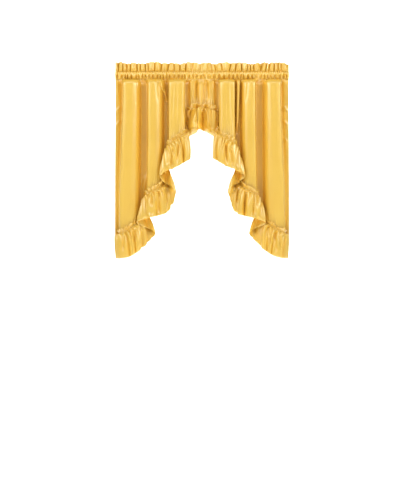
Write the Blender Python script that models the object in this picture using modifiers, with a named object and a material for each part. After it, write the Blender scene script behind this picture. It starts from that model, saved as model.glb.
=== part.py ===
"""A pair of ruffled swags, as they hang from the rod pocket in their gathered heading.

Metres, +Z up. The room is towards -Y. The origin is on the rod's axis, in the middle of the pair. Each
side is worked out in its own frame, where "across" is the distance outward from the middle, and is then
laid to the left or to the right.
"""

import math
from collections import namedtuple

import bmesh
import bpy
import numpy as np

# Driving dimensions of the finished pair as it hangs.
HALF_WIDTH = 0.428
HEADER_TOP = 0.060
UPPER_STITCHES = 0.017
LOWER_STITCHES = -0.019
RUFFLE_FRILL = 0.013
CLOTH = 0.0012
PANEL_SEAT = 0.0012
CENTRE_GAP = 0.00045

# The rod pocket and the layers of the heading.
POCKET_FRONT = 0.0105
POCKET_BACK = 0.0095
STITCHED_LAYERS = 0.0011
FRILL_LAYERS = 0.0017
GATHER_PITCH = 0.046
GATHER_DRIFT, GATHER_DRIFT_LENGTH = 0.9, 0.047
GATHER_AT_ROD = 0.0006
GATHER_AT_TOP = 0.0050
TOP_EDGE_RISE = 0.0045
TOP_EDGE_LENGTHS = (0.019, 0.051)
TOP_EDGE_START = 1.3
END_CALM = 0.014

# How the folds form below the pocket.
VALLEY_PLANE = 0.022
FOLD_GROWTH = 0.020
CORNER_ROUNDING = 0.0045
PROFILE_STEP = 0.0005
LEAN_FROM = 0.080
LEAN_TO = 0.620

# How the ruffle stands off the panel, waves and hangs.
RUFFLE_SEAT = 0.0030
RUFFLE_SWELL = 0.009
FLOUNCE_PITCH = 0.046
FLOUNCE_HEIGHT = 0.0085
FLOUNCE_DRIFT, FLOUNCE_DRIFT_LENGTH = 1.1, 0.061
FLOUNCE_START = 0.4
FLOUNCE_BIAS = 0.4
FLOUNCE_EASE = 0.8
SIDEWAYS_EASE = 1.6
DOWNWARD_EASE = 1.25
SEAM_ALLOWANCE = 0.004
SEAM_ROUNDING = 0.009
EDGE_ROUNDING = 0.014

# How finely the solids are cut.
PANEL_COLUMNS, PANEL_ROWS = 66, 10
RUFFLE_COLUMNS, RUFFLE_ROWS = 140, 5
HEADING_COLUMNS = 40
FINE_COUNT = 2400
PANEL_SPREAD_LEVEL = 0.2
NUDGE = 0.0005
LONGEST_PANEL_STEP = 0.030
LONGEST_RUFFLE_STEP = 0.0075
BEND_STEP = math.radians(24.0)
POCKET_LEVELS = (-0.0125, -0.001, 0.0105)
FRILL_LEVELS = (0.30, 0.66, 0.97)

CLOTH_COLOUR = (0.87, 0.50, 0.10, 1.0)
CLOTH_ROUGHNESS = 0.45

# A fold of a panel: where it starts and ends outward from the middle just under the pocket and again low
# down, how far it stands towards the room there and there, the drop of the ruffle's seam at its inner and
# at its outer edge, and whether its inner edge rolls down or stands sharp.
Fold = namedtuple("Fold", "name inner outer inner_low outer_low depth depth_low seam_inner seam_outer edge")
FOLDS = {
    "left": (
        Fold("centre_edge", -0.016, 0.019, -0.016, 0.019, 0.013, 0.013, 0.158, 0.160, "rolled"),
        Fold("recess_ridge", 0.029, 0.063, 0.029, 0.063, 0.018, 0.018, 0.163, 0.174, "rolled"),
        Fold("inner_pleat", 0.087, 0.166, 0.089, 0.164, 0.074, 0.074, 0.290, 0.352, "sharp"),
        Fold("middle_pleat", 0.190, 0.268, 0.192, 0.272, 0.070, 0.070, 0.546, 0.594, "rolled"),
        Fold("outer_pleat", 0.304, 0.392, 0.306, 0.408, 0.068, 0.068, 0.726, 0.782, "rolled"),
        Fold("side_edge", 0.402, 0.440, 0.418, 0.438, 0.014, 0.003, 0.788, 0.794, "rolled"),
    ),
    "right": (
        Fold("centre_edge", -0.016, 0.014, -0.016, 0.014, 0.009, 0.009, 0.158, 0.160, "rolled"),
        Fold("recess_ridge", 0.026, 0.064, 0.026, 0.064, 0.017, 0.017, 0.164, 0.176, "rolled"),
        Fold("inner_pleat", 0.088, 0.163, 0.090, 0.162, 0.073, 0.073, 0.292, 0.350, "sharp"),
        Fold("middle_pleat", 0.191, 0.265, 0.194, 0.270, 0.069, 0.069, 0.549, 0.596, "rolled"),
        Fold("outer_pleat", 0.303, 0.389, 0.305, 0.408, 0.068, 0.068, 0.724, 0.780, "rolled"),
        Fold("side_edge", 0.399, 0.440, 0.418, 0.438, 0.013, 0.003, 0.788, 0.793, "rolled"),
    ),
}

# The two sections of the folds in shares of their width and of their depth, from the inner to the outer
# foot. Both have as many places.
FOLD_SECTIONS = {
    "rolled": (
        (0.000, 0.00),
        (0.030, 0.34),
        (0.090, 0.62),
        (0.200, 0.82),
        (0.400, 0.93),
        (0.720, 0.99),
        (0.930, 0.95),
        (0.985, 0.42),
        (1.000, 0.00),
    ),
    "sharp": (
        (0.000, 0.00),
        (-0.040, 0.40),
        (-0.050, 0.76),
        (0.020, 0.90),
        (0.140, 0.96),
        (0.550, 1.00),
        (0.940, 0.95),
        (0.985, 0.42),
        (1.000, 0.00),
    ),
}
SECTION_PLACES = len(FOLD_SECTIONS["rolled"])
INNER_EDGE, OUTER_EDGE = 2, 6

# Where the ruffle's free edge hangs from its seam: beside which fold, at which place of that fold's
# section, how far outward on the left and on the right side, how far to the room, how far down, and what
# share of the full flounces it carries there.
Hem = namedtuple("Hem", "fold place out_left out_right forward down flounce")
HEMS = (
    Hem("centre_edge", 3.0, 0.002, 0.003, 0.006, 0.109, 0.45),
    Hem("recess_ridge", 4.0, 0.000, 0.002, 0.008, 0.126, 0.60),
    Hem("recess_ridge", 8.3, -0.002, -0.002, -0.006, 0.133, 0.20),
    Hem("inner_pleat", 1.2, -0.020, -0.020, 0.026, 0.108, 0.25),
    Hem("inner_pleat", 2.8, -0.022, -0.022, 0.014, 0.120, 0.80),
    Hem("inner_pleat", 5.5, -0.026, -0.024, 0.024, 0.124, 0.90),
    Hem("inner_pleat", 7.2, 0.036, 0.036, 0.052, 0.098, 0.35),
    Hem("inner_pleat", 8.5, -0.056, -0.056, 0.012, 0.106, 0.15),
    Hem("middle_pleat", 2.0, -0.020, -0.022, 0.010, 0.126, 0.60),
    Hem("middle_pleat", 5.5, -0.022, -0.022, 0.022, 0.116, 0.90),
    Hem("middle_pleat", 7.2, 0.046, 0.034, 0.052, 0.100, 0.35),
    Hem("middle_pleat", 8.5, -0.072, -0.066, 0.014, 0.110, 0.15),
    Hem("outer_pleat", 1.5, -0.024, -0.024, 0.012, 0.114, 0.60),
    Hem("outer_pleat", 4.5, -0.020, -0.020, 0.022, 0.124, 0.90),
    Hem("outer_pleat", 8.0, 0.004, 0.004, 0.016, 0.116, 0.50),
    Hem("side_edge", 2.0, 0.010, 0.010, 0.004, 0.114, 0.30),
)
RUFFLE_END = ("side_edge", 2.2)


def smooth_step(low, high, value):
    """0 below low, 1 above high, and a smooth rise between them."""
    share = np.clip((value - low) / (high - low), 0.0, 1.0)
    return share * share * (3.0 - 2.0 * share)


def smooth_through(knots, values, at):
    """Values on a smooth curve through the given ones, which doesn't overshoot them."""
    knots, values = np.asarray(knots, float), np.asarray(values, float)
    steps = np.diff(knots)
    slopes = np.diff(values) / steps
    product = slopes[:-1] * slopes[1:]
    total = np.where(product > 0, slopes[:-1] + slopes[1:], 1.0)
    inner = np.where(product > 0, 2.0 * product / total, 0.0)
    tangents = np.concatenate([[slopes[0]], inner, [slopes[-1]]])
    i = np.clip(np.searchsorted(knots, at, side="right") - 1, 0, len(steps) - 1)
    share = (at - knots[i]) / steps[i]
    square, cube = share**2, share**3
    return (
        values[i] * (2 * cube - 3 * square + 1)
        + values[i + 1] * (3 * square - 2 * cube)
        + tangents[i] * steps[i] * (cube - 2 * square + share)
        + tangents[i + 1] * steps[i] * (cube - square)
    )


def unit(vectors):
    """The vectors at length 1."""
    return vectors / np.linalg.norm(vectors, axis=-1, keepdims=True)


def spread_by_bend(line, count, longest):
    """Places along a line, as shares of its points, that are closer together where it bends."""
    pieces = np.diff(line, axis=0)
    heading = unit(pieces)
    bends = np.arccos(np.clip(np.sum(heading[1:] * heading[:-1], axis=1), -1.0, 1.0))
    weight = np.linalg.norm(pieces, axis=1) / longest
    weight[1:] += bends / BEND_STEP
    total = np.concatenate([[0.0], np.cumsum(weight)])
    return np.interp(np.linspace(0.0, total[-1], count), total, np.linspace(0.0, 1.0, len(line)))


def length_along(line):
    """The run from a line's first point to each of its points."""
    return np.concatenate([[0.0], np.cumsum(np.linalg.norm(np.diff(line, axis=0), axis=1))])


def averaged(rows, step, length):
    """Rows of evenly spaced values averaged with their neighbours over about the given length."""
    reach = int(3.0 * length / step)
    kernel = np.exp(-0.5 * (np.arange(-reach, reach + 1) * step / length) ** 2)
    kernel /= kernel.sum()
    padded = np.pad(rows, ((reach, reach), (0, 0)), mode="reflect", reflect_type="odd")
    return np.stack([np.convolve(column, kernel, mode="valid") for column in padded.T], axis=1)


class Side:
    """One panel of the pair, with its folds as curves over the cloth's own width."""

    def __init__(self, name):
        self.name = name
        self.sign = -1.0 if name == "left" else 1.0
        rows = []
        for fold in FOLDS[name]:
            for across, forward in FOLD_SECTIONS[fold.edge]:
                top = fold.inner + across * (fold.outer - fold.inner)
                low = fold.inner_low + across * (fold.outer_low - fold.inner_low)
                rows.append((top, low, forward * fold.depth, forward * fold.depth_low))
        rows = np.array(rows)
        run = length_along(rows[:, [0, 2]])
        even = np.arange(0.0, run[-1], PROFILE_STEP)
        line = np.stack([np.interp(even, run, column) for column in rows.T], axis=1)
        line = averaged(line, PROFILE_STEP, CORNER_ROUNDING)
        start, end = np.interp([CENTRE_GAP + CLOTH / 4.0, HALF_WIDTH], line[:, 0], even)
        self.width = end - start
        self.knots = np.linspace(0.0, self.width, len(even))
        line = [np.interp(self.knots + start, even, column) for column in line.T]
        self.top, self.low, self.depth, self.depth_low = line
        self.marks = run - start
        edges, drops = [], []
        for i, fold in enumerate(FOLDS[name]):
            edges += [i * SECTION_PLACES + INNER_EDGE, i * SECTION_PLACES + OUTER_EDGE]
            drops += [fold.seam_inner, fold.seam_outer]
        self.seam_knots = self.marks[edges]
        self.seam_drops = np.array(drops)

    def place(self, fold, outline):
        """Where on the cloth's width a place of a fold's section lies."""
        names = [row.name for row in FOLDS[self.name]]
        at = names.index(fold) * SECTION_PLACES + outline
        return float(np.clip(np.interp(at, np.arange(len(self.marks)), self.marks), 0.0, self.width))

    def seam_drop(self, cloth):
        """How far below the rod the ruffle's stitching runs, at a place on the cloth's width."""
        return smooth_through(self.seam_knots, self.seam_drops, cloth)

    def surface(self, cloth, drop):
        """The panel's middle surface, as across, depth and height, at places on the cloth."""
        lean = smooth_step(LEAN_FROM, LEAN_TO, drop)
        top = np.interp(cloth, self.knots, self.top)
        low = np.interp(cloth, self.knots, self.low)
        folded = top + (low - top) * lean
        below = np.maximum(drop + LOWER_STITCHES, 0.0)
        grown = 1.0 - np.exp(-((below / FOLD_GROWTH) ** 1.3))
        even = self.top[0] + (self.top[-1] - self.top[0]) * cloth / self.width
        across = even + (folded - even) * smooth_step(-0.2, 1.0, grown)
        forward = np.interp(cloth, self.knots, self.depth)
        forward = forward + (np.interp(cloth, self.knots, self.depth_low) - forward) * lean
        depth = VALLEY_PLANE - forward
        gathered = gather_wave(even, GATHER_AT_ROD)
        return np.stack([across, gathered + (depth - gathered) * grown, -drop + 0.0 * across], axis=-1)

    def placed(self, points):
        """Points of this side's own frame in the frame of the pair."""
        return points * np.array([self.sign, 1.0, 1.0])


def gather_wave(across, height):
    """How far the gathers swing the heading off the rod's plane; both ends stay straight."""
    phase = 2.0 * math.pi * across / GATHER_PITCH + GATHER_DRIFT * np.sin(across / GATHER_DRIFT_LENGTH)
    calm = smooth_step(0.0, END_CALM, across) * smooth_step(0.0, END_CALM, HALF_WIDTH - across)
    return height * calm * np.sin(phase)


def satin(name):
    """The satin of one piece."""
    material = bpy.data.materials.new(name)
    material.use_nodes = True
    shader = material.node_tree.nodes["Principled BSDF"]
    shader.inputs["Base Color"].default_value = CLOTH_COLOUR
    shader.inputs["Roughness"].default_value = CLOTH_ROUGHNESS
    return material


def add_sheet(collection, name, points):
    """A solid of even thickness about a grid of points, given as rows of columns."""
    rows, columns = points.shape[:2]
    bm = bmesh.new()
    bmesh.ops.create_grid(bm, x_segments=columns - 1, y_segments=rows - 1, size=1.0)
    for vertex in bm.verts:
        column = round((vertex.co.x + 1.0) / 2.0 * (columns - 1))
        row = round((vertex.co.y + 1.0) / 2.0 * (rows - 1))
        vertex.co = points[row, column]
    bmesh.ops.recalc_face_normals(bm, faces=bm.faces)
    mesh = bpy.data.meshes.new(name)
    bm.to_mesh(mesh)
    bm.free()
    mesh.shade_smooth()
    mesh.materials.append(satin(f"{name}_satin"))
    sheet = bpy.data.objects.new(name, mesh)
    collection.objects.link(sheet)
    solidify = sheet.modifiers.new("thickness", "SOLIDIFY")
    solidify.thickness = CLOTH
    solidify.offset = 0.0
    solidify.use_even_offset = True


def panel_points(side):
    """The panel from just under the pocket's stitches to just past the ruffle's seam."""
    fine = np.linspace(0.0, side.width, FINE_COUNT)
    level = side.surface(fine, np.full_like(fine, PANEL_SPREAD_LEVEL))
    cloth = side.width * spread_by_bend(level, PANEL_COLUMNS, LONGEST_PANEL_STEP)
    share = np.linspace(0.0, 1.0, PANEL_ROWS)
    share = (share + 4.0 * share**2) / 5.0
    top = PANEL_SEAT - LOWER_STITCHES
    bottom = side.seam_drop(cloth) + SEAM_ALLOWANCE
    drop = top + share[:, None] * (bottom - top)[None, :]
    return side.surface(np.broadcast_to(cloth, drop.shape), drop)


def surface_normal(side, cloth, drop):
    """The direction off the panel's room side."""
    cloth = np.clip(cloth, NUDGE, side.width - NUDGE)
    aside = side.surface(cloth + NUDGE, drop) - side.surface(cloth - NUDGE, drop)
    below = side.surface(cloth, drop + NUDGE) - side.surface(cloth, drop - NUDGE)
    return unit(np.cross(below, aside))


def hem_guide(side, cloth, even):
    """How the ruffle's free edge lies off its seam, and its share of flounces, along the seam."""
    stations = np.interp([side.place(hem.fold, hem.place) for hem in HEMS], cloth, even)
    outward = [hem.out_left if side.name == "left" else hem.out_right for hem in HEMS]
    columns = [outward]
    columns.append([-hem.forward for hem in HEMS])
    columns.append([-hem.down for hem in HEMS])
    columns.append([hem.flounce for hem in HEMS])
    within = np.clip(even, stations[0], stations[-1])
    guide = np.stack([smooth_through(stations, column, within) for column in columns], axis=1)
    guide = averaged(guide, even[1], EDGE_ROUNDING)
    return guide[:, :3], guide[:, 3]


def ruffle_points(side):
    """The gathered ruffle, from the frill above its stitches to its free edge."""
    fine = np.linspace(0.0, side.place(*RUFFLE_END), FINE_COUNT)
    run = length_along(side.surface(fine, side.seam_drop(fine)))
    even = np.linspace(0.0, run[-1], FINE_COUNT)
    cloth = np.interp(even, run, fine)
    drop = side.seam_drop(cloth)
    normal = surface_normal(side, cloth, drop)
    seam = side.surface(cloth, drop) + normal * RUFFLE_SEAT
    slope = np.gradient(drop, cloth)
    frill_cloth = cloth + slope / np.hypot(slope, 1.0) * RUFFLE_FRILL
    frill_drop = drop - 1.0 / np.hypot(slope, 1.0) * RUFFLE_FRILL
    frill = side.surface(frill_cloth, frill_drop)
    frill = frill + surface_normal(side, frill_cloth, frill_drop) * RUFFLE_SEAT

    reach, flounce = hem_guide(side, cloth, even)
    soft_seam = averaged(seam, even[1], SEAM_ROUNDING)
    soft_normal = unit(averaged(normal, even[1], EDGE_ROUNDING))
    drift = FLOUNCE_DRIFT * np.sin(even / FLOUNCE_DRIFT_LENGTH)
    wave = np.sin(2.0 * math.pi * even / FLOUNCE_PITCH + drift + side.sign * FLOUNCE_START)
    rows = [frill, seam]
    for share in np.linspace(0.0, 1.0, RUFFLE_ROWS)[1:]:
        soft = smooth_step(0.0, 0.5, share)
        sideways, downward = 1.0 - (1.0 - share) ** SIDEWAYS_EASE, share**DOWNWARD_EASE
        base = seam + (soft_seam - seam) * soft + reach * np.array([sideways, sideways, downward])
        swell = RUFFLE_SWELL * math.sin(math.pi * share**FLOUNCE_EASE)
        stand = swell + FLOUNCE_HEIGHT * (share * FLOUNCE_BIAS + share**FLOUNCE_EASE * wave)
        rows.append(base + soft_normal * (flounce * stand)[:, None])
    grid = np.stack(rows)
    grid[..., 0] = np.maximum(grid[..., 0], CENTRE_GAP + CLOTH / 2.0)
    return picked(grid, spread_by_bend(seam, RUFFLE_COLUMNS, LONGEST_RUFFLE_STEP))


def picked(grid, shares):
    """The grid's columns at the given shares of its length."""
    at = shares * (grid.shape[1] - 1)
    low = np.clip(at.astype(int), 0, grid.shape[1] - 2)
    part = (at - low)[None, :, None]
    return grid[:, low] * (1.0 - part) + grid[:, low + 1] * part


def heading_row(across, height, out):
    """One level of the heading at a distance off the gathers' middle."""
    share = smooth_step(UPPER_STITCHES, HEADER_TOP, height)
    swing = GATHER_AT_ROD + (GATHER_AT_TOP - GATHER_AT_ROD) * share
    depth = gather_wave(across, swing)
    slope = (gather_wave(across + NUDGE, swing) - gather_wave(across - NUDGE, swing)) / (2.0 * NUDGE)
    size = np.sqrt(1.0 + slope**2)
    return np.stack([across - out * slope / size, depth + out / size, height + 0.0 * across], axis=-1)


def heading_points(side):
    """The heading as one cloth, from the front's lower stitches over the top edge to the back's."""
    across = np.linspace(CENTRE_GAP, HALF_WIDTH, HEADING_COLUMNS)
    middle = (UPPER_STITCHES + LOWER_STITCHES) / 2.0
    half = (UPPER_STITCHES - LOWER_STITCHES) / 2.0
    short, long = TOP_EDGE_LENGTHS
    uneven = np.sin(across / short + TOP_EDGE_START * side.sign) * np.sin(across / long)
    top = HEADER_TOP + TOP_EDGE_RISE * uneven
    rows = []
    for face, bulge in ((-1.0, POCKET_FRONT), (1.0, POCKET_BACK)):
        levels = [(LOWER_STITCHES, STITCHED_LAYERS)]
        for level in POCKET_LEVELS:
            round_out = bulge * math.sqrt(1.0 - ((level - middle) / half) ** 2)
            levels.append((level, STITCHED_LAYERS + round_out))
        levels.append((UPPER_STITCHES, STITCHED_LAYERS))
        leaf = [heading_row(across, level, face * out) for level, out in levels]
        for share in FRILL_LEVELS:
            height = UPPER_STITCHES + share * (top - UPPER_STITCHES)
            leaf.append(heading_row(across, height, face * FRILL_LAYERS))
        if face < 0:
            rows += leaf + [heading_row(across, top, 0.0)]
        else:
            rows += leaf[::-1]
    return np.stack(rows)


def main():
    for old in list(bpy.data.objects):
        bpy.data.objects.remove(old)
    collection = bpy.data.collections.new("window_swag")
    bpy.context.scene.collection.children.link(collection)
    for name in FOLDS:
        side = Side(name)
        add_sheet(collection, f"panel_{name}", side.placed(panel_points(side)))
        add_sheet(collection, f"ruffle_{name}", side.placed(ruffle_points(side)))
        add_sheet(collection, f"heading_{name}", side.placed(heading_points(side)))


main()
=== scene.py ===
import math
from collections import namedtuple

import bmesh
import bpy
import numpy as np
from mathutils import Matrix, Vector


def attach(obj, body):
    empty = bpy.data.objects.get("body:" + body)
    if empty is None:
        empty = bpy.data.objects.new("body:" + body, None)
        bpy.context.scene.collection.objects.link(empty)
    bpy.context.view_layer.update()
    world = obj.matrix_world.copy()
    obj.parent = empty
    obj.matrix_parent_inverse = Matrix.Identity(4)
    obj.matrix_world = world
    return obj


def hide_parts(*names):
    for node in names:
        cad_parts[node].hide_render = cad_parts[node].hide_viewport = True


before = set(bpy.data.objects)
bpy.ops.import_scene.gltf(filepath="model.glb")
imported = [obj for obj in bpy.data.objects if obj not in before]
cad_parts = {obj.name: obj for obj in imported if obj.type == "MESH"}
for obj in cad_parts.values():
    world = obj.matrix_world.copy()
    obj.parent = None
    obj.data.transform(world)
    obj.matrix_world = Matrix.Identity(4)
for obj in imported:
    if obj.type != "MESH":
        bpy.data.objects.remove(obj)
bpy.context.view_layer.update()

# sizes of the hung pair, in metres; past frontFrom and backFrom the cloth's depth grows ever slower, and it
# ends within frontRoom and backRoom
swag = dict(
    halfWidth=0.428, headerTop=0.060, upperStitches=0.017, lowerStitches=-0.019,
    cadCloth=0.0012, centreGap=0.00045, overlapFade=0.022, valleyPlane=0.022,
    frontFrom=0.074, frontRoom=0.0245, backFrom=0.022, backRoom=0.0125,
    cornerRounding=0.0045, profileStep=0.0005, leanFrom=0.080, leanTo=0.620,
    foldGrowth=0.010, foldGrowthPower=1.3, foldHead=0.2, normalStep=0.0007,
)

# folds of each side, by their feet outward from the middle, at the top and low down
Fold = namedtuple("Fold", "name inner outer innerLow outerLow depth depthLow seamInner seamOuter edge")
folds = {
    "left": (
        Fold("centre_edge", -0.016, 0.019, -0.016, 0.019, 0.013, 0.013, 0.158, 0.160, "rolled"),
        Fold("recess_ridge", 0.029, 0.063, 0.029, 0.063, 0.018, 0.018, 0.163, 0.174, "rolled"),
        Fold("inner_pleat", 0.087, 0.166, 0.089, 0.164, 0.074, 0.074, 0.290, 0.352, "sharp"),
        Fold("middle_pleat", 0.190, 0.268, 0.192, 0.272, 0.070, 0.070, 0.546, 0.594, "rolled"),
        Fold("outer_pleat", 0.304, 0.392, 0.306, 0.408, 0.068, 0.068, 0.726, 0.782, "rolled"),
        Fold("side_edge", 0.402, 0.440, 0.418, 0.438, 0.014, 0.003, 0.788, 0.794, "rolled"),
    ),
    "right": (
        Fold("centre_edge", -0.016, 0.014, -0.016, 0.014, 0.009, 0.009, 0.158, 0.160, "rolled"),
        Fold("recess_ridge", 0.026, 0.064, 0.026, 0.064, 0.017, 0.017, 0.164, 0.176, "rolled"),
        Fold("inner_pleat", 0.088, 0.163, 0.090, 0.162, 0.073, 0.073, 0.292, 0.350, "sharp"),
        Fold("middle_pleat", 0.191, 0.265, 0.194, 0.270, 0.069, 0.069, 0.549, 0.596, "rolled"),
        Fold("outer_pleat", 0.303, 0.389, 0.305, 0.408, 0.068, 0.068, 0.724, 0.780, "rolled"),
        Fold("side_edge", 0.399, 0.440, 0.418, 0.438, 0.013, 0.003, 0.788, 0.793, "rolled"),
    ),
}
# a fold's section from its inner foot to its outer foot, as shares of its width and depth
foldSections = dict(
    rolled=(
        (0.00, 0.00), (0.03, 0.34), (0.09, 0.62), (0.20, 0.82), (0.40, 0.93),
        (0.72, 0.99), (0.93, 0.95), (0.985, 0.42), (1.00, 0.00),
    ),
    sharp=(
        (0.00, 0.00), (-0.04, 0.40), (-0.05, 0.76), (0.02, 0.90), (0.14, 0.96),
        (0.55, 1.00), (0.94, 0.95), (0.985, 0.42), (1.00, 0.00),
    ),
)
sectionPoints = len(foldSections["rolled"])
innerCorner, outerCorner = 2, 6  # points of a section where the slanting seam turns

# where the ruffle's free edge hangs from its seam; place counts along the points of the fold's section
Hem = namedtuple("Hem", "fold place outLeft outRight forward down flounce")
hems = (
    Hem("centre_edge", 3.0, 0.002, 0.003, 0.006, 0.109, 0.45),
    Hem("recess_ridge", 4.0, 0.000, 0.002, 0.008, 0.126, 0.60),
    Hem("recess_ridge", 8.3, 0.016, 0.014, -0.006, 0.148, 0.20),
    Hem("inner_pleat", 1.2, 0.006, 0.001, 0.018, 0.114, 0.25),
    Hem("inner_pleat", 2.8, -0.022, -0.022, 0.014, 0.120, 0.80),
    Hem("inner_pleat", 5.5, -0.026, -0.024, 0.024, 0.124, 0.90),
    Hem("inner_pleat", 7.2, 0.036, 0.036, 0.052, 0.098, 0.35),
    Hem("inner_pleat", 8.5, -0.056, -0.056, 0.040, 0.106, 0.15),
    Hem("middle_pleat", 2.0, -0.024, -0.026, 0.010, 0.126, 0.60),
    Hem("middle_pleat", 5.5, -0.022, -0.022, 0.022, 0.116, 0.90),
    Hem("middle_pleat", 7.2, 0.046, 0.034, 0.052, 0.100, 0.35),
    Hem("middle_pleat", 8.5, -0.072, -0.066, 0.040, 0.110, 0.15),
    Hem("outer_pleat", 1.5, -0.024, -0.024, 0.012, 0.114, 0.60),
    Hem("outer_pleat", 4.5, -0.020, -0.020, 0.022, 0.124, 0.90),
    Hem("outer_pleat", 8.0, 0.004, 0.004, 0.016, 0.116, 0.50),
    Hem("side_edge", 2.0, 0.010, 0.010, 0.004, 0.114, 0.30),
)


def smoothStep(low, high, value):
    share = np.clip((value - low) / (high - low), 0.0, 1.0)
    return share * share * (3.0 - 2.0 * share)


def smoothThrough(knots, values, at):
    knots, values = np.asarray(knots, float), np.asarray(values, float)
    steps = np.diff(knots)
    slopes = np.diff(values) / steps
    product = slopes[:-1] * slopes[1:]
    total = np.where(product > 0, slopes[:-1] + slopes[1:], 1.0)
    inner = np.where(product > 0, 2.0 * product / total, 0.0)
    tangents = np.concatenate([[slopes[0]], inner, [slopes[-1]]])
    i = np.clip(np.searchsorted(knots, at, side="right") - 1, 0, len(steps) - 1)
    share = (at - knots[i]) / steps[i]
    square, cube = share**2, share**3
    start = values[i] * (2 * cube - 3 * square + 1) + tangents[i] * steps[i] * (cube - 2 * square + share)
    return start + values[i + 1] * (3 * square - 2 * cube) + tangents[i + 1] * steps[i] * (cube - square)


def unit(vectors):
    return vectors / np.linalg.norm(vectors, axis=-1, keepdims=True)


def lengthAlong(line):
    return np.concatenate([[0.0], np.cumsum(np.linalg.norm(np.diff(line, axis=0), axis=1))])


def averaged(rows, step, length):
    reach = int(3.0 * length / step)
    kernel = np.exp(-0.5 * (np.arange(-reach, reach + 1) * step / length) ** 2)
    kernel /= kernel.sum()
    padded = np.pad(rows, ((reach, reach), (0, 0)), mode="reflect", reflect_type="odd")
    return np.stack([np.convolve(column, kernel, mode="valid") for column in padded.T], axis=1)


def drift(at, length, seed, count=512, start=100.0):
    # a smooth random value from -1 to 1 along a line
    values = np.random.default_rng(seed).uniform(-1.0, 1.0, count)
    place = np.asarray(at) / length + start
    low = np.floor(place).astype(int)
    share = smoothStep(0.0, 1.0, place - low)
    return values[low % count] * (1.0 - share) + values[(low + 1) % count] * share


def drift2(u, v, lengthU, lengthV, seed, count=256, start=50.0):
    # the same over a surface
    values = np.random.default_rng(seed).uniform(-1.0, 1.0, (count, count))
    u, v = np.broadcast_arrays(u / lengthU + start, v / lengthV + start)
    i, j = np.floor(u).astype(int), np.floor(v).astype(int)
    su, sv = smoothStep(0.0, 1.0, u - i), smoothStep(0.0, 1.0, v - j)
    i, j = i % count, j % count
    i1, j1 = (i + 1) % count, (j + 1) % count
    near = values[i, j] * (1 - su) + values[i1, j] * su
    far = values[i, j1] * (1 - su) + values[i1, j1] * su
    return near * (1 - sv) + far * sv


def gathers(at, pitch, seed, sharp):
    # uneven gathers from -1 in the creases to 1 on the crests, with the crests wider than the creases
    phase = at / pitch + 0.42 * drift(at, pitch * 1.3, seed) + 0.5 * drift(at, pitch * 4.0, seed + 1)
    height = 0.72 + 0.28 * drift(at, pitch * 0.9, seed + 2)
    return height * (2.0 * (0.5 + 0.5 * np.sin(2.0 * math.pi * phase)) ** (1.0 / sharp) - 1.0)


def pleatCells(at, narrow, wide, seed, sharp=2.0, count=400, start=-0.1):
    # uneven gathers: broad crests up to 1 between narrow creases down to -1, of uneven spacing and depth
    random = np.random.default_rng(seed)
    edges = np.cumsum(random.uniform(narrow, wide, count)) + start
    crest, crease = random.uniform(0.45, 1.0, count), random.uniform(0.25, 1.0, count + 1)
    at = np.asarray(at)
    cell = np.clip(np.searchsorted(edges, at) - 1, 0, count - 3)
    share = np.clip((at - edges[cell]) / (edges[cell + 1] - edges[cell]), 0.0, 1.0)
    near = np.where(share < 0.5, crease[cell], crease[cell + 1])
    return crest[cell] - (crest[cell] + near) * (1.0 - np.sin(math.pi * share)) ** sharp


firstSeeds = dict(left=100, right=500)


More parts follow.
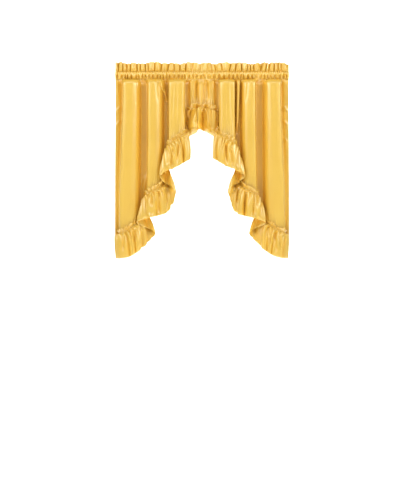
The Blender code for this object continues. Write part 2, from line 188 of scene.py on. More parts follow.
class Side:
    # one half of the pair: its folds as lines over the flat cloth, from the middle outward
    def __init__(self, name):
        self.name = name
        self.sign = -1.0 if name == "left" else 1.0
        self.seed = firstSeeds[name]
        rows = []
        for fold in folds[name]:
            for across, forward in foldSections[fold.edge]:
                top = fold.inner + across * (fold.outer - fold.inner)
                low = fold.innerLow + across * (fold.outerLow - fold.innerLow)
                rows.append((top, low, forward * fold.depth, forward * fold.depthLow))
        rows = np.array(rows)
        run = lengthAlong(rows[:, [0, 2]])
        even = np.arange(0.0, run[-1], swag["profileStep"])
        line = np.stack([np.interp(even, run, column) for column in rows.T], axis=1)
        line = averaged(line, swag["profileStep"], swag["cornerRounding"])
        ends = [swag["centreGap"] + swag["cadCloth"] / 4.0, swag["halfWidth"]]
        start, end = np.interp(ends, line[:, 0], even)
        self.width = end - start
        self.knots = np.linspace(0.0, self.width, len(even))
        line = [np.interp(self.knots + start, even, column) for column in line.T]
        self.top, self.low, self.depth, self.depthLow = line
        self.marks = run - start
        edges, drops = [], []
        for i, fold in enumerate(folds[name]):
            edges += [i * sectionPoints + innerCorner, i * sectionPoints + outerCorner]
            drops += [fold.seamInner, fold.seamOuter]
        self.seamKnots, self.seamDrops = self.marks[edges], np.array(drops)

    def place(self, fold, outline):
        names = [row.name for row in folds[self.name]]
        at = names.index(fold) * sectionPoints + outline
        return float(np.clip(np.interp(at, np.arange(len(self.marks)), self.marks), 0.0, self.width))

    def seamDrop(self, cloth):
        return smoothThrough(self.seamKnots, self.seamDrops, cloth)

    def evenAcross(self, cloth):
        return self.top[0] + (self.top[-1] - self.top[0]) * cloth / self.width

    def surface(self, cloth, drop):
        # a place on the hung cloth, from its flat coordinate and its drop below the rod's middle
        lean = smoothStep(swag["leanFrom"], swag["leanTo"], drop)
        top = np.interp(cloth, self.knots, self.top)
        low = np.interp(cloth, self.knots, self.low)
        folded = top + (low - top) * lean
        below = np.maximum(drop + swag["lowerStitches"], 0.0)
        grown = 1.0 - np.exp(-((below / swag["foldGrowth"]) ** swag["foldGrowthPower"]))
        even = self.evenAcross(cloth)
        across = even + (folded - even) * smoothStep(-swag["foldHead"], 1.0, grown)
        forward = np.interp(cloth, self.knots, self.depth)
        forward = forward + (np.interp(cloth, self.knots, self.depthLow) - forward) * lean
        gathered = gatherWave(even, heading["gatherAtRod"])
        depth = gathered + (swag["valleyPlane"] - forward - gathered) * grown
        return np.stack([across, depth, -drop + 0.0 * across], axis=-1)

    def placed(self, points):
        return points * np.array([self.sign, 1.0, 1.0])


def overlapped(side, points, reach, forward):
    # carries the edge in the middle past the other side's, so that no slit shows between them
    near = 1.0 - smoothStep(0.0, swag["overlapFade"], points[..., 0])
    return points - np.stack([near * reach, near * forward, 0.0 * near], axis=-1)


# the main creases: soft troughs (height below 0) and ridges along short lines, outward of the
# middle and up from the rod; a flatness above 2 gives a broader top
creaseFields = "piece half fromX fromZ toX toZ wideFrom wideTo height flatness"
Crease = namedtuple("Crease", creaseFields, defaults=(2.0,))
creaseEnds = dict(startFrom=-0.12, startTo=0.15, endFrom=0.75, endTo=1.15)
creases = (
    Crease("panel", "left", 0.203, -0.012, 0.176, -0.115, 0.012, 0.004, 0.0330, 4.0),
    Crease("panel", "right", 0.179, -0.016, 0.173, -0.262, 0.0095, 0.005, 0.0560, 6.0),
    Crease("panel", "left", 0.276, -0.492, 0.312, -0.689, 0.010, 0.007, 0.0070),
    Crease("panel", "left", 0.314, -0.026, 0.313, -0.070, 0.004, 0.003, 0.0040),
    Crease("panel", "both", 0.138, -0.057, 0.146, -0.231, 0.005, 0.004, -0.0012),
    Crease("panel", "both", 0.114, -0.086, 0.117, -0.304, 0.005, 0.004, -0.0012),
    Crease("panel", "both", 0.224, -0.036, 0.216, -0.133, 0.004, 0.006, -0.0022),
    Crease("panel", "both", 0.057, -0.020, 0.056, -0.074, 0.004, 0.003, 0.0060),
    Crease("panel", "both", 0.028, -0.027, 0.031, -0.118, 0.004, 0.005, -0.0100),
    Crease("panel", "left", 0.420, -0.012, 0.415, -0.111, 0.005, 0.004, 0.0060),
    Crease("panel", "both", 0.424, -0.178, 0.400, -0.148, 0.005, 0.004, 0.0060),
    Crease("panel", "both", 0.424, -0.246, 0.400, -0.215, 0.005, 0.004, 0.0060),
    Crease("panel", "right", 0.424, -0.330, 0.402, -0.300, 0.005, 0.004, 0.0050),
    Crease("ruffle", "left", 0.010, -0.156, 0.042, -0.262, 0.014, 0.024, 0.0420, 4.0),
    Crease("ruffle", "left", 0.034, -0.148, 0.082, -0.235, 0.009, 0.012, -0.0160),
    Crease("ruffle", "right", 0.024, -0.165, 0.030, -0.300, 0.006, 0.006, 0.0100),
    Crease("ruffle", "left", -0.006, -0.180, -0.004, -0.300, 0.005, 0.018, -0.0260, 4.0),
    Crease("ruffle", "right", -0.004, -0.180, 0.000, -0.300, 0.006, 0.020, -0.0280, 4.0),
    Crease("ruffle", "left", 0.080, -0.296, 0.022, -0.266, 0.008, 0.008, 0.0200),
    Crease("ruffle", "right", 0.022, -0.266, 0.078, -0.296, 0.008, 0.009, 0.0200),
    Crease("ruffle", "both", 0.114, -0.346, 0.122, -0.441, 0.006, 0.005, -0.0160),
    Crease("ruffle", "both", 0.140, -0.372, 0.150, -0.452, 0.006, 0.006, -0.0130),
    Crease("ruffle", "left", 0.090, -0.325, 0.088, -0.420, 0.007, 0.006, -0.0110),
    Crease("ruffle", "both", 0.184, -0.478, 0.166, -0.556, 0.008, 0.010, -0.0180),
    Crease("ruffle", "both", 0.158, -0.455, 0.140, -0.570, 0.009, 0.011, 0.0380),
    Crease("ruffle", "both", 0.251, -0.690, 0.226, -0.765, 0.009, 0.012, 0.0340),
    Crease("ruffle", "both", 0.264, -0.575, 0.268, -0.650, 0.006, 0.005, -0.0120),
    Crease("ruffle", "left", 0.240, -0.573, 0.245, -0.648, 0.006, 0.006, -0.0130),
    Crease("ruffle", "both", 0.211, -0.568, 0.207, -0.687, 0.006, 0.007, -0.0140),
    Crease("ruffle", "both", 0.179, -0.560, 0.174, -0.630, 0.006, 0.007, -0.0130),
    Crease("ruffle", "both", 0.278, -0.706, 0.254, -0.770, 0.008, 0.010, -0.0120),
    Crease("ruffle", "both", 0.324, -0.750, 0.330, -0.828, 0.009, 0.004, -0.0110),
    Crease("ruffle", "left", 0.298, -0.765, 0.303, -0.842, 0.006, 0.005, 0.0060),
    Crease("ruffle", "both", 0.378, -0.792, 0.383, -0.862, 0.005, 0.006, -0.0090),
    Crease("ruffle", "right", 0.352, -0.779, 0.359, -0.871, 0.006, 0.007, -0.0120),
)


def creased(side, piece, points, hold=1.0):
    offsets = points[..., [0, 2]]
    rise = np.zeros(points.shape[:2])
    for crease in creases:
        if crease.piece != piece or crease.half not in (side.name, "both"):
            continue
        start = np.array([crease.fromX, crease.fromZ])
        line = np.array([crease.toX, crease.toZ]) - start
        length = np.hypot(line[0], line[1])
        offset = offsets - start
        along = (offset @ line) / length**2
        across = (offset[..., 0] * line[1] - offset[..., 1] * line[0]) / length
        width = crease.wideFrom + (crease.wideTo - crease.wideFrom) * np.clip(along, 0.0, 1.0)
        fade = smoothStep(creaseEnds["startFrom"], creaseEnds["startTo"], along)
        fade = fade * (1.0 - smoothStep(creaseEnds["endFrom"], creaseEnds["endTo"], along))
        rise = rise + crease.height * fade * np.exp(-(np.abs(across / width) ** crease.flatness))
    return points - np.stack([0.0 * rise, rise * hold, 0.0 * rise], axis=-1)


def surfaceNormal(side, cloth, drop):
    nudge = swag["normalStep"]
    cloth = np.clip(cloth, nudge, side.width - nudge)
    aside = side.surface(cloth + nudge, drop) - side.surface(cloth - nudge, drop)
    below = side.surface(cloth, drop + nudge) - side.surface(cloth, drop - nudge)
    return unit(np.cross(below, aside))


def gatherWave(across, height):
    phase = 2.0 * math.pi * across / heading["gatherPitch"]
    phase = phase + heading["gatherWander"] * np.sin(across / heading["gatherWanderLength"])
    calm = smoothStep(0.0, heading["endCalm"], across)
    calm = calm * smoothStep(0.0, heading["endCalm"], swag["halfWidth"] - across)
    return height * calm * np.sin(phase)


def reached(value, start, room):
    # slows a move beyond the start, so that it ends within the room
    beyond = np.maximum(value - start, 0.0)
    return np.minimum(value, start) + room * np.tanh(beyond / room)


def clothSheet(name, points, cloth, stitch, thickness, turned, hemmed=None):
    # points, cloth and stitch are grids, rows by columns: places, flat cloth coordinates, and the run and
    # distance of the nearest stitches; hemmed is each point's share of the thickness, less outside the hem
    front = reached(-points[..., 1], swag["frontFrom"], swag["frontRoom"])
    back = reached(-front, swag["backFrom"], swag["backRoom"])
    points = np.stack([points[..., 0], back, points[..., 2]], axis=-1)
    rows, columns = points.shape[:2]
    bm = bmesh.new()
    bmesh.ops.create_grid(bm, x_segments=columns - 1, y_segments=rows - 1, size=1.0)
    if turned:
        bmesh.ops.reverse_faces(bm, faces=bm.faces)
    mesh = bpy.data.meshes.new(name)
    bm.to_mesh(mesh)
    bm.free()
    flat = np.empty(len(mesh.vertices) * 3)
    mesh.vertices.foreach_get("co", flat)
    flat = flat.reshape(-1, 3)
    column = np.rint((flat[:, 0] + 1.0) / 2.0 * (columns - 1)).astype(int)
    row = np.rint((flat[:, 1] + 1.0) / 2.0 * (rows - 1)).astype(int)
    mesh.vertices.foreach_set("co", points[row, column].ravel())
    corner = np.empty(len(mesh.loops), dtype=int)
    mesh.loops.foreach_get("vertex_index", corner)
    for label, values in (("cloth", cloth), ("stitch", stitch)):
        layer = mesh.uv_layers.new(name=label)
        layer.uv.foreach_set("vector", values[row, column][corner].astype(np.float32).ravel())
    mesh.update()
    mesh.shade_smooth()
    sheet = bpy.data.objects.new(name, mesh)
    bpy.context.scene.collection.objects.link(sheet)
    solid = sheet.modifiers.new("thickness", "SOLIDIFY")
    solid.thickness = thickness
    solid.offset = 0.0
    solid.use_even_offset = False
    solid.material_offset = 1
    if hemmed is not None:
        group = sheet.vertex_groups.new(name="hem")
        weights = hemmed[row, column]
        for level in np.unique(np.round(weights, 2)):
            members = [int(i) for i in np.nonzero(np.round(weights, 2) == level)[0]]
            group.add(members, float(level), "REPLACE")
        solid.vertex_group = "hem"
        solid.thickness_vertex_group = 0.0
    return sheet


panel = dict(
    columns=400, rows=112, thickness=0.0006, tuck=0.0015, allowance=0.010, hemWidth=0.012, single=0.55,
    reachVaries=0.6, reachLength=0.011, puckerHeight=0.0011, puckerReach=0.020,
    tuckPitch=0.024, tuckSharp=1.2, tuckHeight=0.0022, tuckStart=0.006, tuckReach=0.042,
    seamNarrow=0.006, seamWide=0.015, seamSharp=1.6, seamSlant=0.25, seamSlantLength=0.03,
    seamHeight=0.0062, seamReach=0.034, seamReachLength=0.014, seamPinned=0.004,
    wrinkleHeight=0.0011, wrinkleLarge=(0.030, 0.160), wrinkleSmall=(0.014, 0.09),
    wrinkleTop=0.05, creaseTop=0.012, calmAboveSeam=0.030,
    overlap=dict(left=(0.005, 0.001), right=(0.001, -0.001)),
)


def panelSheet(side):
    cloth = np.linspace(0.0, side.width, panel["columns"])
    share = np.linspace(0.0, 1.0, panel["rows"])
    # the rows stand closest under the heading
    share = 0.30 * share + 0.45 * share**2 + 0.25 * (1.0 - (1.0 - share) ** 2.5)
    top = -swag["lowerStitches"] - panel["tuck"]
    seam = side.seamDrop(cloth)
    drop = top + share[:, None] * (seam + panel["allowance"] - top)[None, :]
    cloth = np.broadcast_to(cloth, drop.shape)
    points, normal = side.surface(cloth, drop), surfaceNormal(side, cloth, drop)
    even = side.evenAcross(cloth)
    below = np.maximum(drop + swag["lowerStitches"], 0.0)
    above = np.maximum(seam[None, :] - drop, 0.0)
    # puckers and tucks fade downward from the heading's stitches
    reach = 1.0 + panel["reachVaries"] * drift(even, panel["reachLength"], side.seed + 3)
    small = stitchPuckers(side, even)
    large = gathers(even, panel["tuckPitch"], side.seed + 7, panel["tuckSharp"])
    rise = panel["puckerHeight"] * small * np.exp(-below / (panel["puckerReach"] * reach))
    fade = smoothStep(0.0, panel["tuckStart"], below) * np.exp(-below / (panel["tuckReach"] * reach))
    rise = rise + panel["tuckHeight"] * large * fade
    # pulls fade upward from the ruffle's seam
    slanted = cloth + panel["seamSlant"] * above * drift(cloth, panel["seamSlantLength"], side.seed + 11)
    pull = pleatCells(slanted, panel["seamNarrow"], panel["seamWide"], side.seed + 10, panel["seamSharp"])
    seamReach = 1.0 + panel["reachVaries"] * drift(cloth, panel["seamReachLength"], side.seed + 12)
    seamReach = panel["seamReach"] * seamReach
    pinned = 1.0 - np.exp(-above / panel["seamPinned"])
    rise = rise + panel["seamHeight"] * pull * pinned * np.exp(-above / seamReach)
    # soft wrinkles over the whole sheet
    soft = drift2(cloth, drop, *panel["wrinkleLarge"], side.seed + 14)
    soft = soft + 0.5 * drift2(cloth, drop, *panel["wrinkleSmall"], side.seed + 15)
    calm = smoothStep(0.0, panel["calmAboveSeam"], above)
    rise = rise + panel["wrinkleHeight"] * soft * smoothStep(0.0, panel["wrinkleTop"], below) * calm
    points = points + normal * rise[..., None]
    points = creased(side, "panel", points, smoothStep(0.0, panel["creaseTop"], below) * calm)
    edge = np.minimum(cloth, side.width - cloth)
    hem = panel["single"] + (1.0 - panel["single"]) * (edge < panel["hemWidth"])
    uv = np.stack([cloth, drop], axis=-1)
    stitch = np.stack([drop, edge - panel["hemWidth"]], axis=-1)
    points = overlapped(side, points, *panel["overlap"][side.name])
    turned = side.sign > 0.0
    points = side.placed(points)
    sheet = clothSheet(f"panelCloth.{side.name}", points, uv, stitch, panel["thickness"], turned, hem)
    # the lower edge is cut on the slant, so the area is less than width times height
    flatArea = float(np.sum(seam + swag["lowerStitches"]) * side.width / panel["columns"])
    return sheet, (side.width, float(seam.max()) + swag["lowerStitches"]), flatArea


ruffle = dict(
    columns=1050, rows=34, fineColumns=2400, lastPlace=2.2, fullness=1.8, thickness=0.0005, seat=0.0005,
    drop=0.112, rowSpread=1.3, hemWidth=0.006, single=0.55,
    swell=0.009, bias=0.4, ease=0.8, sideways=1.6, downward=1.25, seamRounding=0.009, edgeRounding=0.014,
    lobeNarrow=0.026, lobeWide=0.066, lobeSharp=1.8, lobeHeight=0.0230,
    lobeSlant=0.016, lobeSlantLength=0.035,
    gatherNarrow=0.009, gatherWide=0.024, gatherSharp=1.6, gatherHeight=0.0150, gatherReach=0.040,
    gatherSlant=0.006, gatherSlantLength=0.012, gatherSlantOver=0.03, gatherReachLength=0.013,
    gatherPinned=0.006, puff=0.0042, puffReach=0.005, creaseTop=0.014,
    frill=0.019, frillRows=7, frillNarrow=0.012, frillWide=0.036, frillSharp=1.5, frillFine=0.4,
    frillStand=0.0150, frillUneven=0.26, frillWander=0.34, frillWanderLength=0.018,
    endFade=0.040, endOut=dict(left=0.000, right=-0.027), endForward=dict(left=0.010, right=-0.012),
    endUp=dict(left=0.002, right=0.010),
)


def hemGuide(side, cloth, even):
    # from each point of the seam to the free edge below it, and how far the cloth flounces there
    stations = np.interp([side.place(hem.fold, hem.place) for hem in hems], cloth, even)
    outward = [hem.outLeft if side.name == "left" else hem.outRight for hem in hems]
    forward, down = [-hem.forward for hem in hems], [-hem.down for hem in hems]
    columns = [outward, forward, down, [hem.flounce for hem in hems]]
    within = np.clip(even, stations[0], stations[-1])
    guide = np.stack([smoothThrough(stations, column, within) for column in columns], axis=1)
    guide = averaged(guide, even[1], ruffle["edgeRounding"])
    fade = 1.0 - smoothStep(0.0, ruffle["endFade"], even)
    guide[:, 0] += ruffle["endOut"][side.name] * fade
    guide[:, 1] -= ruffle["endForward"][side.name] * fade
    guide[:, 2] += ruffle["endUp"][side.name] * fade
    return guide[:, :3], guide[:, 3]


def ruffleSheet(side):
    fine = np.linspace(0.0, side.place("side_edge", ruffle["lastPlace"]), ruffle["fineColumns"])
    run = lengthAlong(side.surface(fine, side.seamDrop(fine)))
    even = np.linspace(0.0, run[-1], ruffle["fineColumns"])
    cloth = np.interp(even, run, fine)
    drop = side.seamDrop(cloth)
    normal = surfaceNormal(side, cloth, drop)
    seam = side.surface(cloth, drop) + normal * ruffle["seat"]
    slope = np.gradient(drop, cloth)
    reach, flounce = hemGuide(side, cloth, even)
    softSeam = averaged(seam, even[1], ruffle["seamRounding"])
    softNormal = unit(averaged(normal, even[1], ruffle["edgeRounding"]))

    def cells(kind, seed):
        return pleatCells(even, ruffle[f"{kind}Narrow"], ruffle[f"{kind}Wide"], seed, ruffle[f"{kind}Sharp"])

    lobes, small = cells("lobe", side.seed + 20), cells("gather", side.seed + 23)
    frilled = ruffle["frillFine"] * small + (1.0 - ruffle["frillFine"]) * cells("frill", side.seed + 21)
    lobeDrift = drift(even, ruffle["lobeSlantLength"], side.seed + 25) * ruffle["lobeSlant"]
    gatherDrift = drift(even, ruffle["gatherSlantLength"], side.seed + 26) * ruffle["gatherSlant"]
    reachOf = ruffle["gatherReach"] * (1.0 + 0.6 * drift(even, ruffle["gatherReachLength"], side.seed + 27))
    frillRows = ruffle["frillRows"]
    # rows by their distance down from the seam, so below 0 in the frill above it
    widths = np.concatenate([
        np.linspace(-ruffle["frill"], 0.0, frillRows + 1)[:-1],
        ruffle["drop"] * np.linspace(0.0, 1.0, ruffle["rows"] - frillRows) ** ruffle["rowSpread"],
    ])
    grid = []
    for width in widths:
        if width < 0.0:
            over = -width
            high = over / ruffle["frill"]
            bump = np.interp(even + gatherDrift * high, even, frilled)
            wander = ruffle["frillWander"] * drift(even, ruffle["frillWanderLength"], side.seed + 28)
            tall = 1.0 + high * (ruffle["frillUneven"] * bump + wander)
            at = cloth + slope / np.hypot(slope, 1.0) * over * tall
            level = drop - over * tall / np.hypot(slope, 1.0)
            puff = ruffle["frillStand"] * high**1.1 * (0.45 + 0.65 * bump)
            lift = ruffle["seat"] + puff
            grid.append(side.surface(at, level) + surfaceNormal(side, at, level) * lift[:, None])
            continue
        share = width / ruffle["drop"]
        soft = smoothStep(0.0, 0.5, share)
        sideways, downward = 1.0 - (1.0 - share) ** ruffle["sideways"], share ** ruffle["downward"]
        base = seam + (softSeam - seam) * soft + reach * np.array([sideways, sideways, downward])
        swell = ruffle["swell"] * math.sin(math.pi * share ** ruffle["ease"])
        lobe = np.interp(even + lobeDrift * share, even, lobes)
        stand = share * ruffle["bias"] + share**0.6 * (1.0 - 0.35 * share) * lobe
        stand = swell + ruffle["lobeHeight"] * stand
        crease = np.interp(even + gatherDrift * min(1.0, width / ruffle["gatherSlantOver"]), even, small)
        crease = ruffle["gatherHeight"] * (crease + 0.5) * np.exp(-width / reachOf)
        crease = crease * (0.35 + 0.65 * float(smoothStep(0.0, ruffle["gatherPinned"], width)))
        crease = crease + ruffle["puff"] * (1.0 - math.exp(-width / ruffle["puffReach"]))
        grid.append(base + softNormal * (flounce * stand + crease)[:, None])
    points = np.stack(grid)
    points = creased(side, "ruffle", points, smoothStep(0.0, ruffle["creaseTop"], widths)[:, None])
    if side.name == "left":  # its end stays on its own side of the middle
        points[..., 0] = np.maximum(points[..., 0], swag["centreGap"] + swag["cadCloth"] / 2.0)
    pick = np.linspace(0, len(even) - 1, ruffle["columns"])
    low = np.clip(pick.astype(int), 0, len(even) - 2)
    part = (pick - low)[None, :, None]
    points = points[:, low] * (1.0 - part) + points[:, low + 1] * part
    along = np.interp(pick, np.arange(len(even)), even) * ruffle["fullness"]
    uv = np.stack(np.broadcast_arrays(along[None, :], widths[:, None]), axis=-1)
    away = np.where(widths < ruffle["drop"] / 2.0, widths, ruffle["drop"] - ruffle["hemWidth"] - widths)
    stitch = np.stack(np.broadcast_arrays(along[None, :], away[:, None]), axis=-1)
    hem = ruffle["single"] + (1.0 - ruffle["single"]) * (widths > ruffle["drop"] - ruffle["hemWidth"])
    hem = np.broadcast_to(hem[:, None], points.shape[:2])
    turned = side.sign > 0.0
    points = side.placed(points)
    sheet = clothSheet(f"ruffleCloth.{side.name}", points, uv, stitch, ruffle["thickness"], turned, hem)
    return sheet, (float(along[-1]), ruffle["drop"] + ruffle["frill"])


heading = dict(
    columns=580, pocketRows=19, frillRows=15, thickness=0.0005,
    pocketFront=0.0130, pocketBack=0.0095, stitched=0.0011, frill=0.0009,
    gatherPitch=0.046, gatherWander=0.9, gatherWanderLength=0.047, gatherAtRod=0.0006, gatherAtTop=0.0050,
    topInset=0.001, topRise=0.0045, topLobes=0.0022, topDrift=0.0016, topDriftLength=0.011,
    endCalm=0.014, sideCalm=0.012, middleCalm=(0.035, 0.075), lean=0.010, leanLength=0.02,
    lobeNarrow=0.011, lobeWide=0.038, lobeHeight=0.0180,
    fineNarrow=0.005, fineWide=0.012, fineSharp=1.5, fineHeight=0.0030,
    puckerNarrow=0.007, puckerWide=0.028, puckerSharp=1.6, puckerHeight=0.0270, puckerBand=(0.32, 0.70),
    upperNarrow=0.005, upperWide=0.013, upperSharp=1.5, upperShare=0.4, upperBand=0.25,
    coverDepth=0.03, coverEdge=0.010, coverInner=0.012,
    overlap=dict(left=(0.0016, 0.0008), right=(0.0010, -0.0004)),
)


def pleatCover(side, across):
    # 1 where a pleat stands in front and 0 in the valleys between
    cover = 0.0 * across
    for fold in folds[side.name]:
        if fold.depth > heading["coverDepth"]:
            edge = heading["coverEdge"]
            rise = smoothStep(fold.inner - edge, fold.inner + heading["coverInner"], across)
            cover = cover + rise * (1.0 - smoothStep(fold.outer - edge, fold.outer + edge, across))
    return cover


def stitchPuckers(side, even):
    # the puckers that the lower stitches draw in both the heading and the panel
    narrow, wide, sharp = heading["puckerNarrow"], heading["puckerWide"], heading["puckerSharp"]
    return pleatCells(even, narrow, wide, side.seed + 4, sharp)


def headingSheet(side):
    across = np.linspace(swag["centreGap"], swag["halfWidth"], heading["columns"])
    lower, upper, top = swag["lowerStitches"], swag["upperStitches"], swag["headerTop"]
    middle, half = (upper + lower) / 2.0, (upper - lower) / 2.0
    uneven = np.sin(across / 0.019 + 1.3 * side.sign) * np.sin(across / 0.051)
    lobes = pleatCells(across, heading["lobeNarrow"], heading["lobeWide"], side.seed + 31)
    narrow, wide, sharp = heading["fineNarrow"], heading["fineWide"], heading["fineSharp"]
    fine = pleatCells(across, narrow, wide, side.seed + 34, sharp)
    strength = 1.15 - 0.60 * pleatCover(side, across) + 0.25 * drift(across, 0.045, side.seed + 39)
    pucker = stitchPuckers(side, across) * strength - 0.35 * (1.0 - pleatCover(side, across))
    edge = top - heading["topInset"] + heading["topRise"] * uneven + heading["topLobes"] * lobes
    edge = edge + heading["topDrift"] * drift(across, heading["topDriftLength"], side.seed + 30)
    calm = smoothStep(0.0, heading["sideCalm"], across)
    calm = calm * smoothStep(0.0, heading["sideCalm"], swag["halfWidth"] - across)
    calmMiddle = 0.30 + 0.70 * smoothStep(*heading["middleCalm"], across)
    leanOf = heading["lean"] * drift(across, heading["leanLength"], side.seed + 38)
    narrow, wide, sharp = heading["upperNarrow"], heading["upperWide"], heading["upperSharp"]
    nearUpper = pleatCells(across, narrow, wide, side.seed + 36, sharp)

    def level(height, out, face):
        # one row of the front (face -1) or back (face 1) layer, at a height and out from the middle surface
        share = smoothStep(upper, top, height)
        swing = heading["gatherAtRod"] + (heading["gatherAtTop"] - heading["gatherAtRod"]) * share
        lift = np.clip((height - upper) / (top - upper), 0.0, 1.0)
        slant = leanOf * lift
        lobe = np.interp(across + slant, across, lobes)
        small = np.interp(across + slant, across, fine)
        bend = lobe * calmMiddle * heading["lobeHeight"] * smoothStep(-0.15, 0.35, lift) * (1.0 - 0.25 * lift)
        bend = bend + small * heading["fineHeight"] * np.minimum(1.0, 0.4 + 3.0 * lift) * (1.0 - 0.8 * lift)
        inFrill = smoothStep(upper - 0.001, upper + 0.003, height)
        depth = gatherWave(across, swing) - bend * calm * inFrill
        slope = np.gradient(depth, across)
        size = np.sqrt(1.0 + slope**2)
        down = np.clip((upper - height) / (upper - lower), 0.0, 1.0)
        spread = smoothStep(*heading["puckerBand"], down) if face < 0.0 else 1.0
        low = heading["puckerHeight"] * (pucker - 0.45) * (0.07 + 0.93 * spread)
        high = heading["upperShare"] * heading["puckerHeight"] * (nearUpper - 0.2)
        high = high * smoothStep(heading["upperBand"], 0.0, down)
        room = 0.35 + 0.65 * smoothStep(0.0, 0.006, out - heading["stitched"])
        out = np.maximum(out + (low + high) * calm * (1.0 - inFrill) * room, heading["stitched"] * 0.4)
        aside, back = across - face * out * slope / size, depth + face * out / size
        return np.stack([aside, back, height + 0.0 * across], axis=-1)

    rows = []
    angles = np.linspace(-90.0, 90.0, heading["pocketRows"])
    frillShares = np.linspace(0.0, 1.0, heading["frillRows"] + 1)[1:]
    for face, bulge in ((-1.0, heading["pocketFront"]), (1.0, heading["pocketBack"])):
        leaf = []
        for angle in angles:
            height = middle + half * math.sin(math.radians(angle))
            out = heading["stitched"] + bulge * math.cos(math.radians(angle))
            leaf.append((np.full_like(across, height), out))
        for share in frillShares[:-1]:
            height = upper + share * (edge - upper)
            out = heading["stitched"] + (heading["frill"] - heading["stitched"]) * min(1.0, share * 3.0)
            leaf.append((height, out))
        leaf.append((edge - 0.0012, heading["frill"] * 0.9))
        leaf.append((edge - 0.0003, heading["frill"] * 0.5))
        leaf = [level(height, out, face) for height, out in leaf]
        rows += leaf if face < 0 else leaf[::-1]
    points = np.stack(rows)
    steps = np.linalg.norm(np.diff(points, axis=0), axis=2).mean(axis=1)
    path = np.concatenate([[0.0], np.cumsum(steps)])
    fullness = side.width / swag["halfWidth"]
    stitchRow = len(angles) - 1
    otherRow = len(path) - 1 - stitchRow
    distance = np.minimum(np.abs(path - path[stitchRow]), np.abs(path - path[otherRow]))
    distance = np.minimum(distance, np.minimum(path, path[-1] - path) - 0.001)
    uv = np.stack(np.broadcast_arrays(across[None, :] * fullness, path[:, None]), axis=-1)
    stitch = np.stack(np.broadcast_arrays(across[None, :] * fullness, distance[:, None]), axis=-1)
    points = overlapped(side, points, *heading["overlap"][side.name])
    turned = side.sign < 0.0
    points = side.placed(points)
    sheet = clothSheet(f"headingCloth.{side.name}", points, uv, stitch, heading["thickness"], turned)
    return sheet, (side.width, float(path[-1]))


class Sock:
    # a shader node's output that can be reckoned with
    def __init__(self, tree, socket):
        self.tree, self.socket = tree, socket

    def node(self, kind, inputs, output=0, **settings):
        made = self.tree.nodes.new(kind)
        for key, value in settings.items():
            setattr(made, key, value)
        for key, value in inputs.items():
            if isinstance(value, Sock):
                self.tree.links.new(value.socket, made.inputs[key])
            else:
                made.inputs[key].default_value = value
        return Sock(self.tree, made.outputs[output])

    def maths(self, operation, other=0.0):
        return self.node("ShaderNodeMath", {0: self, 1: other}, operation=operation)

    def __add__(self, other):
        return self.maths("ADD", other)

    def __mul__(self, other):
        return self.maths("MULTIPLY", other)

    def __sub__(self, other):
        return self.maths("SUBTRACT", other)

    def __rsub__(self, other):
        return (self * -1.0) + other

    __radd__ = __add__
    __rmul__ = __mul__

    def clamped(self, low, high):
        return self.node("ShaderNodeMapRange", {0: self, 1: low, 2: high, 3: 0.0, 4: 1.0})

    def mixed(self, colourA, colourB):
        return self.node("ShaderNodeMix", {0: self, 6: colourA, 7: colourB}, 2, data_type="RGBA")


satin = dict(
    light=(0.885, 0.565, 0.074), deep=(0.835, 0.495, 0.042), thread=(0.80, 0.48, 0.09, 1.0),
    blotchSize=9.0, crumpleSize=55.0, slubSize=240.0, streakSize=1500.0, weaveSize=2600.0,
    stitchesPerMetre=380.0, stitchGap=(0.24, 0.30), threadEdge=(0.00025, 0.00050), groove=(0.0004, 0.0018),
    weaveRise=0.00004, streakRise=0.00003, crumpleRise=0.0007, threadRise=0.00025, grooveDepth=0.0003,
    ior=1.75, glossTint=(1.0, 0.95, 0.80, 1.0), bump=0.8,
    front=dict(shade=1.0, roughness=0.36, gloss=1.0), reverse=dict(shade=1.0, roughness=0.52, gloss=0.8),
)


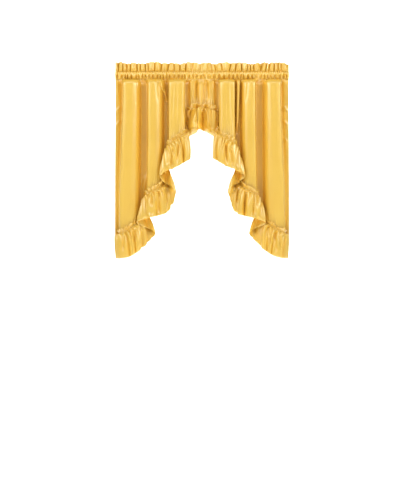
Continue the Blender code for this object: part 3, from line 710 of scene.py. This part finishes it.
def satinLook(name, shade, roughness, gloss):
    # warp satin: fine streaks along the cloth, soft blotches and crumples, and rows of stitches
    material = bpy.data.materials.new(name)
    material.use_nodes = True
    tree = material.node_tree
    shader = tree.nodes["Principled BSDF"]
    start = Sock(tree, None)
    cloth = start.node("ShaderNodeUVMap", {}, uv_map="cloth")
    stitch = start.node("ShaderNodeUVMap", {}, uv_map="stitch")

    def noise(vector, scale, stretch, detail=2.0):
        scaled = {0: vector, 1: (stretch[0], stretch[1], 1.0)}
        spread = start.node("ShaderNodeVectorMath", scaled, operation="MULTIPLY")
        return start.node("ShaderNodeTexNoise", {"Vector": spread, "Scale": scale, "Detail": detail}, 0)

    blotch = noise(cloth, satin["blotchSize"], (1.0, 0.5))
    streak = noise(cloth, satin["streakSize"], (1.0, 0.012), 3.0)
    slub = noise(cloth, satin["slubSize"], (1.0, 0.03))
    weave = noise(cloth, satin["weaveSize"], (1.0, 0.35), 1.0)
    crumple = noise(cloth, satin["crumpleSize"], (1.0, 0.45), 3.0)
    tone = (blotch * 0.5 + slub * 0.3 + streak * 0.2).clamped(0.32, 0.66)
    deep, light = (tuple(shade * part for part in satin[label]) + (1.0,) for label in ("deep", "light"))
    colour = tone.mixed(deep, light)
    run = start.node("ShaderNodeSeparateXYZ", {0: stitch}, 0)
    off = start.node("ShaderNodeSeparateXYZ", {0: stitch}, 1).maths("ABSOLUTE")
    dash = (run * satin["stitchesPerMetre"]).maths("FRACT").clamped(*satin["stitchGap"])
    band = 1.0 - off.clamped(*satin["threadEdge"])
    threads = dash * band
    groove = 1.0 - off.clamped(*satin["groove"])
    colour = threads.mixed(colour, satin["thread"])
    tree.links.new(colour.socket, shader.inputs["Base Color"])
    rough = crumple * 0.10 + streak * 0.08 + (roughness - 0.09)
    tree.links.new(rough.socket, shader.inputs["Roughness"])
    height = weave * satin["weaveRise"] + streak * satin["streakRise"] + crumple * satin["crumpleRise"]
    height = height + threads * satin["threadRise"] - groove * satin["grooveDepth"]
    bump = start.node("ShaderNodeBump", {"Height": height, "Strength": satin["bump"], "Distance": 1.0})
    tree.links.new(bump.socket, shader.inputs["Normal"])
    shader.inputs["Specular IOR Level"].default_value = gloss
    shader.inputs["Specular Tint"].default_value = satin["glossTint"]
    shader.inputs["IOR"].default_value = satin["ior"]
    return material


face = satinLook("satinFace", **satin["front"])
reverse = satinLook("satinReverse", **satin["reverse"])
print("made the satin's face and reverse")

for name in folds:
    side = Side(name)
    body, flat, area = panelSheet(side)
    strip, stripFlat = ruffleSheet(side)
    head, headFlat = headingSheet(side)
    for piece, node in ((body, f"panel_{name}"), (strip, f"ruffle_{name}"), (head, f"heading_{name}")):
        piece.data.materials.append(face)
        piece.data.materials.append(reverse)
        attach(piece, "root")
        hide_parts(node)
    print("made", name, "flat", flat, area, stripFlat, headFlat)

# stage, light and camera
studio = dict(
    distance=4.0, viewHeight=2.4015, centre=(-0.010, -0.835), fill=0.29,
    floor=-2.12, wall=5.6, wide=9.0, front=-8.0, bend=1.2, high=7.0, rows=48, bendFrom=0.25, bendTo=0.75,
    paper=(0.92, 0.92, 0.92, 1.0), paperRoughness=0.9, sensor=36.0, aimPlane=-0.02,
)


def backdrop():
    # a floor that curves up into a wall
    bm = bmesh.new()
    bmesh.ops.create_grid(bm, x_segments=1, y_segments=studio["rows"], size=1.0)
    flat = studio["wall"] - studio["bend"] - studio["front"]
    start, end = studio["bendFrom"], studio["bendTo"]
    for vertex in bm.verts:
        along = (vertex.co.y + 1.0) / 2.0
        angle = math.pi / 2.0 * float(np.clip((along - start) / (end - start), 0.0, 1.0))
        y = studio["front"] + flat * min(1.0, along / start) + studio["bend"] * math.sin(angle)
        z = studio["bend"] * (1.0 - math.cos(angle)) + studio["high"] * max(0.0, (along - end) / (1.0 - end))
        vertex.co = (vertex.co.x * studio["wide"], y, studio["floor"] + z)
    bmesh.ops.recalc_face_normals(bm, faces=bm.faces)
    mesh = bpy.data.meshes.new("backdrop")
    bm.to_mesh(mesh)
    bm.free()
    mesh.shade_smooth()
    sweep = bpy.data.objects.new("backdrop", mesh)
    bpy.context.scene.collection.objects.link(sweep)
    white = bpy.data.materials.new("paper")
    white.use_nodes = True
    shader = white.node_tree.nodes["Principled BSDF"]
    shader.inputs["Base Color"].default_value = studio["paper"]
    shader.inputs["Roughness"].default_value = studio["paperRoughness"]
    sweep.data.materials.append(white)
    return sweep


backdrop()
print("made the backdrop")


def areaLight(name, place, aim, size, power):
    data = bpy.data.lights.new(name, "AREA")
    data.energy, data.size = power, size
    lamp = bpy.data.objects.new(name, data)
    lamp.location = place
    lamp.rotation_euler = (Vector(aim) - Vector(place)).to_track_quat("-Z", "Y").to_euler()
    lamp.visible_camera = False
    bpy.context.scene.collection.objects.link(lamp)
    return lamp


# for the cloth a soft box at each side and weaker ones above and below; for the backdrop lamps of its own
Lamp = namedtuple("Lamp", "name x y z aimX aimY aimZ size power backdropOnly")
lamps = (
    Lamp("keyLeft", -1.75, -1.55, 1.00, 0.0, 0.0, -0.30, 1.10, 28.0, False),
    Lamp("keyRight", 1.75, -1.55, 1.00, 0.0, 0.0, -0.30, 1.10, 28.0, False),
    Lamp("above", 0.0, -1.20, 1.90, 0.0, 0.0, -0.20, 0.90, 7.0, False),
    Lamp("below", 0.0, -1.50, -1.70, 0.0, 0.0, -0.80, 0.90, 3.6, False),
    Lamp("wallLeft", -3.0, 2.2, 1.2, -1.6, 5.6, -0.4, 1.6, 150.0, True),
    Lamp("wallRight", 3.0, 2.2, 1.2, 1.6, 5.6, -0.4, 1.6, 150.0, True),
    Lamp("floor", 0.0, 0.5, 2.6, 0.0, 1.2, -2.1, 4.0, 400.0, True),
)
behind = bpy.data.collections.new("behind")
behind.objects.link(bpy.data.objects["backdrop"])
for row in lamps:
    lamp = areaLight(row.name, (row.x, row.y, row.z), (row.aimX, row.aimY, row.aimZ), row.size, row.power)
    if row.backdropOnly:
        lamp.light_linking.receiver_collection = behind
bpy.context.scene.view_settings.view_transform = "Standard"
world = bpy.data.worlds.new("studio")
world.use_nodes = True
world.node_tree.nodes["Background"].inputs["Color"].default_value = (1.0, 1.0, 1.0, 1.0)
world.node_tree.nodes["Background"].inputs["Strength"].default_value = studio["fill"]
bpy.context.scene.world = world
print("lit by", len(lamps), "lamps")

camera = bpy.data.objects.new("camera", bpy.data.cameras.new("camera"))
bpy.context.scene.collection.objects.link(camera)
camera.location = (studio["centre"][0], studio["aimPlane"] - studio["distance"], studio["centre"][1])
camera.rotation_euler = (math.pi / 2.0, 0.0, 0.0)
camera.data.sensor_width = studio["sensor"]
camera.data.lens = studio["sensor"] * studio["distance"] / studio["viewHeight"]
bpy.context.scene.camera = camera
print("camera at", tuple(camera.location))
